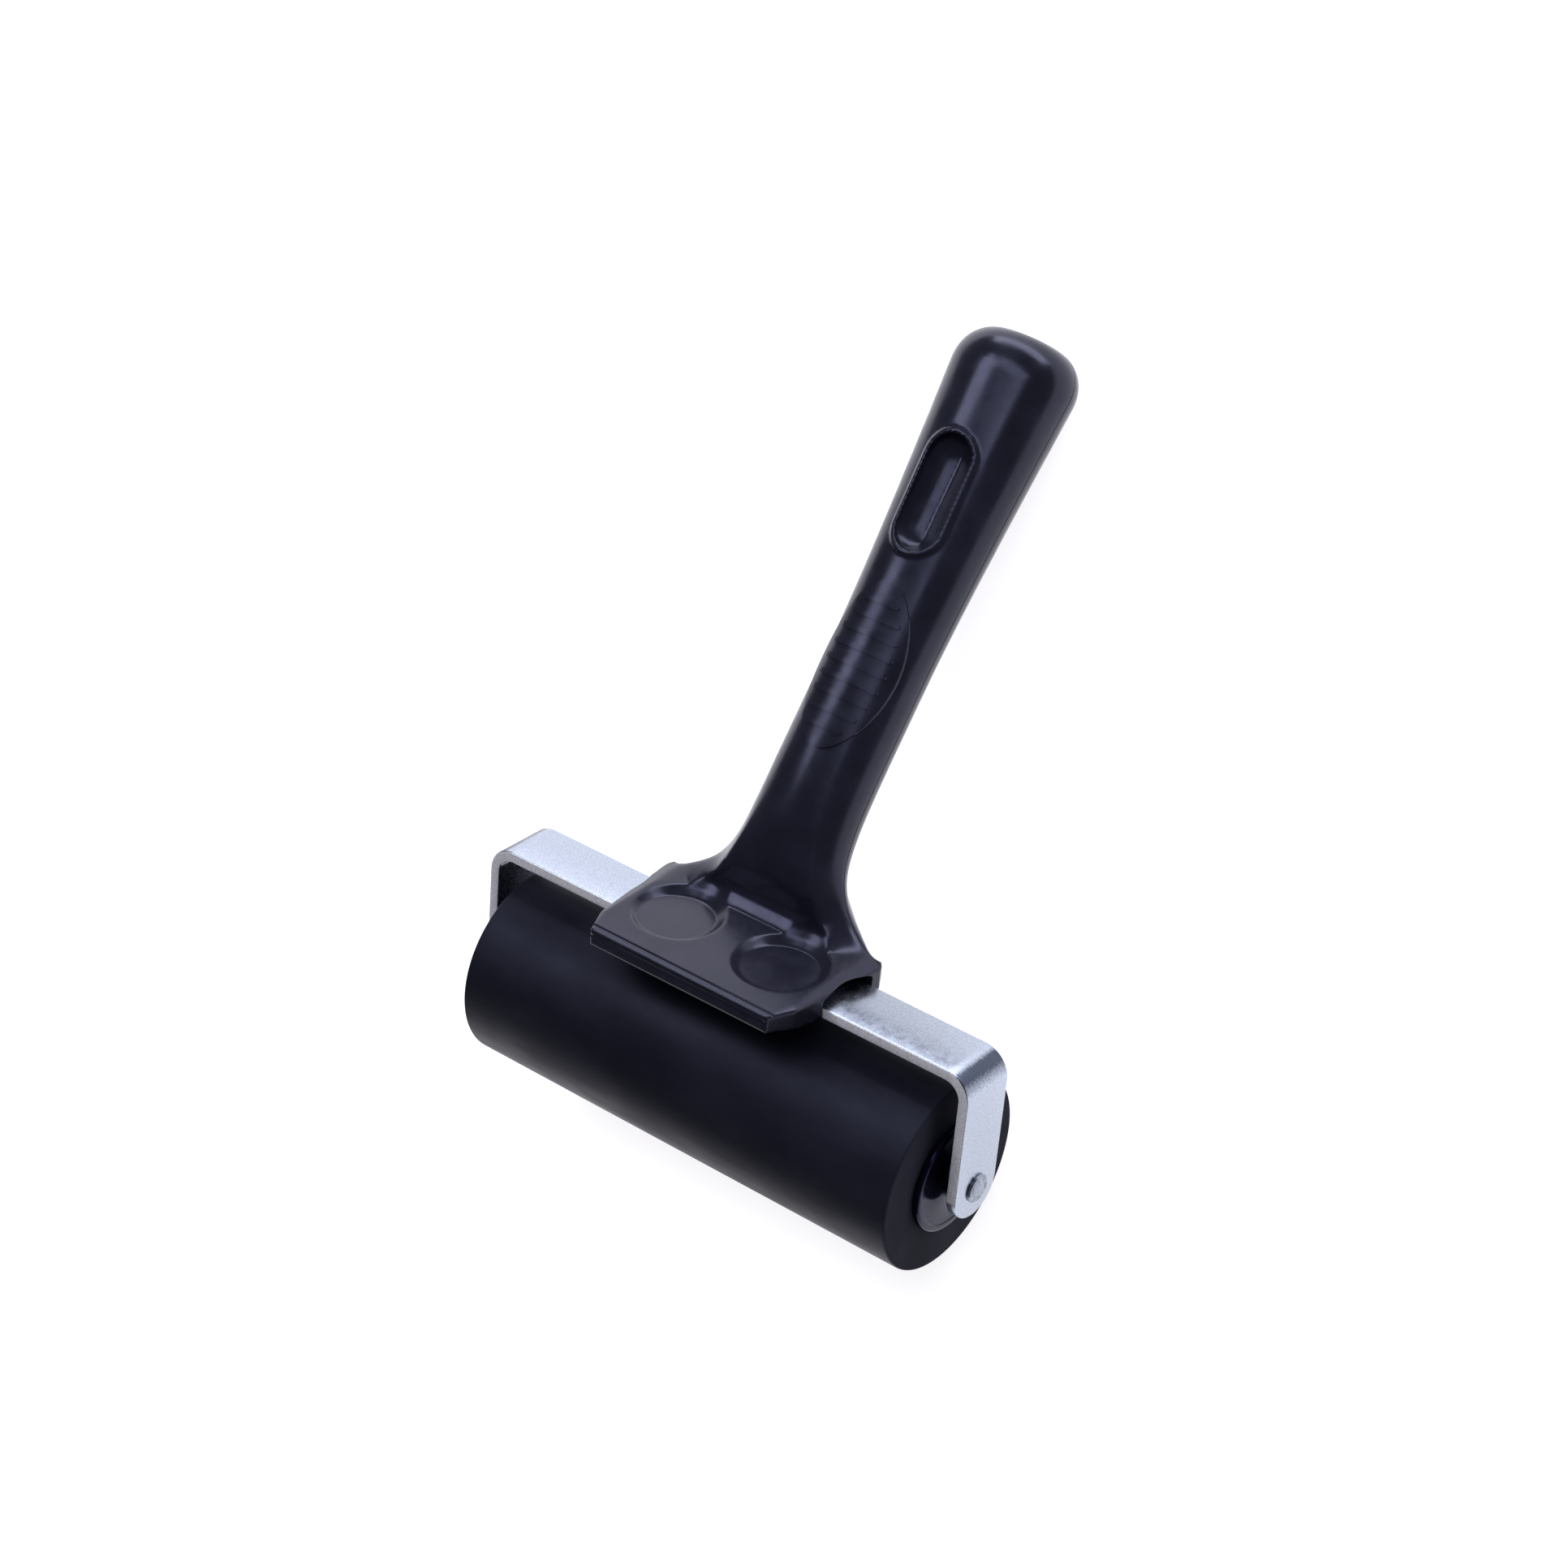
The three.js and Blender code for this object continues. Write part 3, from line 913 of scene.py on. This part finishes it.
    def recess_tool(self) -> bpy.types.Object:
        """The tool that sinks the recess: short steep walls, then four slopes down to a valley.

        Returns:
            The new object.
        """
        start, end, _ = self.recess
        middle = (start + end) / 2
        crown = self.depth(middle, True)
        tool = drawn("recess_tool", self.stadium(0.0), crown - 1.35, crown + 6, Axis.Z)
        lowest = min(v.co.z for v in tool.data.vertices)
        choose(tool, lambda face: face.center.z < lowest + 0.01)
        for drop, narrow, short in self.recess_slopes:
            lowest -= drop
            bpy.ops.mesh.extrude_region_move(TRANSFORM_OT_translate={"value": (0, 0, -drop)})
            bpy.ops.transform.resize(value=(narrow, short, 1), center_override=(0.1, 0, lowest))
        bpy.ops.object.mode_set(mode="OBJECT")
        return self.on_front(tool, middle)

    def seam_tool(self, shift: float) -> bpy.types.Object:
        """All the space behind the parting line of the two halves.

        Args:
            shift: how far the parting face moves to the rear.

        Returns:
            The new object.
        """
        lean = math.radians(self.lean)
        edge = [(self.seam + shift, 0.0), (self.seam + shift, self.root[1] - 0.2)]
        s = 1.0
        while s < 160:
            y, z = self.middle(s)
            edge.append((y + shift * math.cos(lean), z - shift * math.sin(lean)))
            s += 1.5 if s < 24 else 65
        edge += [(240, 200), (240, 0)]
        return drawn("seam_tool", edge, -60, 60, Axis.X)

    def soften(self, obj: bpy.types.Object) -> None:
        """Run the joined shapes together as one moulding, and ease its edges.

        The blends at the foot of the neck are wide; the edges of the base and the butt are tighter.

        Args:
            obj: the joined shapes.
        """
        finish_modifier(obj, "REMESH", mode="VOXEL", voxel_size=self.voxel, adaptivity=0.0)
        wide = obj.vertex_groups.new(name="wide_blends")
        tight = obj.vertex_groups.new(name="tight_edges")
        wings = obj.vertex_groups.new(name="wing_fillets")
        for vertex in obj.data.vertices:
            x, y, z = vertex.co
            base_rim = z < 30.5 and (y < -13 or abs(x) > 19.5 or z < self.deck - 0.8)
            ring_r = math.hypot(abs(x) - self.dimple[0], y - self.dimple[1])
            dimple_rim = 6.8 < ring_r < 10.6 and z < 29.9
            wide.add([vertex.index], 0.0 if base_rim or dimple_rim or z > 75 else 1.0, "REPLACE")
            tight.add([vertex.index], 1.0, "REPLACE")
            if self.deck - 0.2 < z < 40:
                reach = math.hypot(
                    max(15.5 - abs(x), abs(x) - 21, 0) / 3, max(z - 33, 0) / 6, max(3 - y, 0) / 3,
                    max(12.4 - ring_r, 0) / 2,
                )
                wings.add([vertex.index], max(0.0, 1 - reach), "REPLACE")
        for group, times in self.rounds:
            finish_modifier(obj, "SMOOTH", factor=0.5, iterations=times, vertex_group=group)

    def raised(self, obj: bpy.types.Object, tool: bpy.types.Object, height: float) -> bpy.types.Object:
        """A skin of the handle that stands proud of it where a tool reaches.

        Args:
            obj: the handle.
            tool: the solid that the skin is kept inside.
            height: how far it stands proud.

        Returns:
            The new object.
        """
        skin = copy_of(obj, "raised_skin")
        edit(skin, lambda: bpy.ops.transform.shrink_fatten(value=height))
        meet(skin, tool, Join.KEEP, "EXACT")
        return skin

    def oval(self, steps: int = 72) -> list[tuple[float, float]]:
        """The outline of the plain oval thumb pad.

        Args:
            steps: how many points go round.

        Returns:
            (X, along) points about the pad's middle.
        """
        _, length, width = self.pad
        return [
            (width / 2 * math.cos(2 * math.pi * i / steps), length / 2 * math.sin(2 * math.pi * i / steps))
            for i in range(steps)
        ]

    def ribs(self) -> bpy.types.Object:
        """The tool for the low grip ribs across the thumb pad, each as long as the oval leaves it.

        Returns:
            The new object.
        """
        _, length, width = self.pad
        ribs = None
        for i in range(-4, 5):
            along = i * self.rib_pitch
            reach = (width / 2 - 1.5) * math.sqrt(1 - (along / (length / 2 - 1.2)) ** 2)
            arc = [(reach - 0.5 + 0.5 * math.cos(a), along + 0.5 * math.sin(a))
                   for a in (math.pi * (k / 8 - 0.5) for k in range(9))]
            rib = drawn("rib_tool", arc + [(-x, y) for x, y in reversed(arc)], 2, 30, Axis.Z)
            if ribs:
                pick(ribs)
                rib.select_set(True)
                bpy.ops.object.join()
            else:
                ribs = rib
        return ribs

    def moulding(self) -> bpy.types.Object:
        """The whole handle before it is parted: outside shape, pad, recess, dimples and channel.

        Returns:
            The new object.
        """
        obj = self.loft(-1.5, self.length)
        meet(obj, self.base(), Join.ADD, "EXACT")
        meet(obj, self.dimples(), Join.CUT, "EXACT")
        start, end, _ = self.recess
        grow, height = self.bead
        bead = self.on_front(drawn("bead_tool", self.stadium(grow), 2, 30, Axis.Z), (start + end) / 2)
        meet(obj, self.raised(obj, bead, height), Join.ADD, "EXACT")
        meet(obj, self.recess_tool(), Join.CUT, "EXACT")
        self.soften(obj)
        pad = self.on_front(drawn("pad_tool", self.oval(), 2, 30, Axis.Z), self.pad[0])
        pad_skin = self.raised(obj, pad, self.pad_height)
        ribs = self.raised(obj, self.on_front(self.ribs(), self.pad[0]), self.rib_height)
        for skin in (pad_skin, ribs):
            meet(obj, skin, Join.ADD)
        self.trim(obj)
        return obj

    def trim(self, obj: bpy.types.Object) -> None:
        """Cut the crisp shapes: the lines along the lip, the crossbar's channel and the mouths.

        Args:
            obj: the softened handle.
        """
        y, z = self.front, self.deck
        for gy, gz, r in ((y + 1.3, z + 0.3, 0.55), (y - 0.22, z - 1.35, 0.45)):
            profile = [(-23.4, 0), (-23, r), (23, r), (23.4, 0)]
            rod = turned("lip_line", profile, 24, Axis.X, (0, gy, gz), closed=False)
            meet(obj, rod, Join.CUT)
        half, top = self.bar
        meet(obj, block("channel", (-60, -half, 10), (60, half, top)), Join.CUT)
        for side in (1, -1):
            turn = [a * math.pi / 12 for a in range(13)]
            arch = [(half * math.cos(a), 27.2 + 1.5 * math.sin(a)) for a in turn]
            low, high = sorted((side * 21.5, side * 31))
            mouth = drawn("mouth", [(-half, 15), *reversed(arch), (half, 15)], low, high, Axis.X)
            meet(obj, mouth, Join.CUT)
        meet(obj, block("pocket", (-17.5, -16.4, 15), (17.5, -8.4, 26.4), 0.6), Join.CUT)

    def build(self, finish: bpy.types.Material) -> None:
        """Build both halves, dress them and hand them over.

        Args:
            finish: the handle's material.
        """
        whole = self.moulding()
        rear = copy_of(whole, "handle_rear")
        whole.name = whole.data.name = "handle_front"
        meet(whole, self.seam_tool(-self.seam_gap), Join.CUT)
        meet(rear, self.seam_tool(self.seam_gap), Join.KEEP)
        foot = block("foot", (-16, -5, 21.45), (16, 13.8, 23.35), 0.5)
        meet(foot, block("foot_web", (-16, 11.2, 21.6), (16, 13.6, 27.4), 0.4), Join.ADD, "EXACT")
        meet(rear, foot, Join.ADD, "EXACT")
        for obj, node in ((whole, "handle_front_shell"), (rear, "handle_rear_shell")):
            hand_over(obj, self.crease, finish, "frame", node)


# ---------------------------------------------------------------- the yoke and the axle


@dataclass
class Yoke:
    """The steel strip bent round the roller, with round arm ends, and the axle headed over them."""

    width: float = 12.3
    thick: float = 2.2
    bend: float = 5.45
    inner_x: float = 53.8
    outer_x: float = 56.0
    bar_top: float = 25.85
    edge: float = 0.38
    head: tuple[float, float] = (2.8, 0.9)

    def outline(self) -> list[tuple[float, float]]:
        """The strip seen from the front.

        Returns:
            (X, Z) points all the way round.
        """
        steps = 12
        bottom, inner = self.bar_top - self.thick, self.bend - self.thick
        low = -self.width / 2 - 1
        outer_bend, inner_bend = [], []
        for i in range(steps + 1):
            a = i / steps * math.pi / 2
            outer_bend.append((
                self.outer_x - self.bend * (1 - math.cos(a)), self.bar_top - self.bend * (1 - math.sin(a))))
            inner_bend.append((
                self.inner_x - inner * (1 - math.cos(a)), bottom - inner * (1 - math.sin(a))))
        right = [(self.inner_x, low), (self.outer_x, low), *outer_bend]
        left = [(-x, z) for x, z in reversed(right)]
        return right + left + [(-x, z) for x, z in inner_bend] + list(reversed(inner_bend))

    def strip(self) -> bpy.types.Object:
        """The bent strip with its round ends and its rolled edges.

        Returns:
            The new object.
        """
        half = self.width / 2
        obj = drawn("yoke_strip", self.outline(), -half, half, Axis.Y)
        keep = turned("round_ends", [(-70, 0), (-70, half), (70, half), (70, 0)], 96, Axis.X, closed=False)
        meet(keep, block("above_ends", (-72, -half - 2, 0), (72, half + 2, 60)), Join.ADD, "EXACT")
        meet(obj, keep, Join.KEEP, "EXACT")
        finish_modifier(
            obj, "BEVEL", width=self.edge, segments=3, limit_method="ANGLE", angle_limit=math.radians(50)
        )
        return obj

    def axle(self) -> bpy.types.Object:
        """The axle: a plain rod through the plugs, necked through the arms and headed outside them.

        Returns:
            The new object.
        """
        r, out = self.head
        face = self.outer_x + 0.02
        half = [
            (0.0, 2.5), (self.inner_x - 0.3, 2.5), (self.inner_x - 0.3, 2.05), (face, 2.05), (face, r - 0.1),
            (face + 0.15, r), (face + 0.35, r), (face + 0.62, r - 0.22), (face + 0.62, r - 0.62),
            (face + 0.5, r - 0.95), (face + 0.55, r - 1.25), (face + out - 0.08, 1.25), (face + out, 0.9),
            (face + out, 0.0),
        ]
        profile = [(-x, rr) for x, rr in reversed(half)] + half[1:]
        return turned("axle_rod", profile, 48, Axis.X, closed=False)

    def build(self, zinc: bpy.types.Material, steel: bpy.types.Material) -> None:
        """Build the strip and the axle, dress them and hand them over.

        Args:
            zinc: the strip's material.
            steel: the axle's material.
        """
        hand_over(self.strip(), 42, zinc, "frame", "yoke")
        hand_over(self.axle(), 35, steel, "frame", "axle")


# ---------------------------------------------------------------- the roller


@dataclass
class Roller:
    """The rubber sleeve on its core tube, with a plug in each end that runs on the axle."""

    length: float = 100.0
    radius: float = 19.2
    bore: float = 10.3
    flange: tuple[float, float] = (11.0, 1.4)
    hub: tuple[float, float] = (3.7, 1.8)
    axle: float = 2.8

    def sleeve(self) -> bpy.types.Object:
        """The ground rubber sleeve, its edges eased.

        Returns:
            The new object.
        """
        h, r, e = self.length / 2, self.radius, 0.45
        arc = [(h - e * (1 - math.sin(a)), r - e * (1 - math.cos(a)))
               for a in (i / 5 * math.pi / 2 for i in range(6))]
        half = [*arc, (h, self.bore + 0.3), (h - 0.3, self.bore)]
        profile = [(-x, rr) for x, rr in reversed(half)] + half
        return turned("rubber_roller", profile, 192, Axis.X)

    def plug(self, side: int) -> bpy.types.Object:
        """An end plug: a dished flange with a rounded rim, a step and a hub round the axle.

        Args:
            side: 1 for the right end, -1 for the left.

        Returns:
            The new object.
        """
        r, out = self.flange
        hub, hub_out = self.hub
        x = self.length / 2
        rim = [(x + out - 0.5 * (1 - math.sin(a)), r - 0.5 * (1 - math.cos(a)))
               for a in (i / 4 * math.pi / 2 for i in range(5))]
        profile = [
            (x - 9, self.axle), (x - 9, 9.6), (x + 0.05, 9.9), (x + 0.05, r), *rim,
            (x + out, r - 1.3), (x + out - 0.12, r - 1.45), (x + out - 0.12, hub + 0.5),
            (x + out, hub + 0.25), (x + out + hub_out - 0.3, hub), (x + out + hub_out, hub - 0.35),
            (x + out + hub_out, self.axle),
        ]
        return turned(
            "plug_right" if side > 0 else "plug_left", [(side * a, b) for a, b in profile], 128, Axis.X
        )

    def build(self, rubber: bpy.types.Material, plug: bpy.types.Material, core: bpy.types.Material) -> None:
        """Build the roller's pieces, dress them and hand them over.

        Args:
            rubber: the sleeve's material.
            plug: the plugs' material.
            core: the core tube's material.
        """
        hand_over(self.sleeve(), 30, rubber, "roller", "rubber_sleeve")
        for side, node in ((1, "end_plug_right"), (-1, "end_plug_left")):
            hand_over(self.plug(side), 30, plug, "roller", node)
        dress(frame["nodes"]["core_tube"], core)


# ---------------------------------------------------------------- the studio


@dataclass
class Studio:
    """A white table, a dim room, soft boxes overhead and the camera."""

    focal: float = 79.21
    eye: Point = (313.466, -428.128, 365.616)
    ahead: Point = (-0.505228, 0.704193, -0.498856)
    right: Point = (0.783361, 0.616749, 0.077246)
    down: Point = (0.362065, -0.351758, -0.863235)

    def camera(self) -> None:
        """Put the camera where it looks along the roller from above and its open side."""
        data = bpy.data.cameras.new("camera")
        data.lens, data.sensor_width = self.focal, 36
        obj = bpy.data.objects.new("camera", data)
        bpy.context.scene.collection.objects.link(obj)
        axes = Matrix((self.right, -Vector(self.down), -Vector(self.ahead))).transposed().to_4x4()
        turn = (Matrix.Rotation(-POSE.tilt, 4, "X") @ axes).to_3x3().to_4x4()
        obj.matrix_world = Matrix.Translation(POSE.lay_down @ Vector(self.eye)) @ turn
        bpy.context.scene.camera = obj

    def table(self) -> None:
        """A plain white table that glows faintly, so that its shadows stay soft."""
        bpy.ops.mesh.primitive_plane_add(size=8, location=(0, 0, -0.00005))
        obj = bpy.context.object
        obj.name = "table"
        material = bpy.data.materials.new("white_laminate")
        material.use_nodes = True
        shader = material.node_tree.nodes["Principled BSDF"]
        shader.inputs["Base Color"].default_value = linear("f6f5f6")
        shader.inputs["Roughness"].default_value = 0.9
        shader.inputs["Specular IOR Level"].default_value = 0.1
        shader.inputs["Emission Color"].default_value = linear("fffdfe")
        shader.inputs["Emission Strength"].default_value = 0.84
        dress(obj, material)

    def lamp(self, name: str, at: Point, size: tuple[float, float], power: float, colour: str) -> None:
        """A rectangular soft box aimed at the middle of the brayer.

        Args:
            name: its name.
            at: where it stands, in metres in the row frame.
            size: its width and height.
            power: its power in watts.
            colour: its colour.
        """
        data = bpy.data.lights.new(name, "AREA")
        data.shape, data.size, data.size_y, data.energy = "RECTANGLE", size[0], size[1], power
        data.color = linear(colour)[:3]
        obj = bpy.data.objects.new(name, data)
        bpy.context.scene.collection.objects.link(obj)
        aim = Vector((0, 0, 0.02)) - Vector(at)
        obj.matrix_world = Matrix.Translation(at) @ aim.to_track_quat("-Z", "Y").to_matrix().to_4x4()

    def build(self) -> None:
        """Build the camera, the table, the room and its lamps."""
        self.camera()
        self.table()
        world = bpy.data.worlds.new("room")
        bpy.context.scene.world = world
        world.use_nodes = True
        background = world.node_tree.nodes["Background"]
        background.inputs["Color"].default_value = linear("c9cbd8")
        background.inputs["Strength"].default_value = 0.18
        self.lamp("overhead_panel", (0.1, 0.4, 0.86), (0.85, 0.28), 2.7, "e6e9ff")
        self.lamp("side_panel", (-0.61, 0.37, 0.96), (0.5, 0.4), 3.6, "eaecff")
        self.lamp("rear_panel", (-0.1, 1.3, 0.25), (1.8, 0.45), 15.0, "f0f2ff")
        bpy.context.scene.view_settings.view_transform = "Standard"


def main() -> None:
    """Build the studio, the handle, the yoke and the roller, in that order."""
    logging.basicConfig(level=logging.INFO, format="%(name)s: %(message)s")
    Studio().build()
    Handle().build(HANDLE_ABS.make())
    Yoke().build(ZINC.make(), AXLE_STEEL.make())
    Roller().build(RUBBER.make(), PLUG_PP.make(), CORE_PVC.make())


if __name__ == "__main__":
    main()
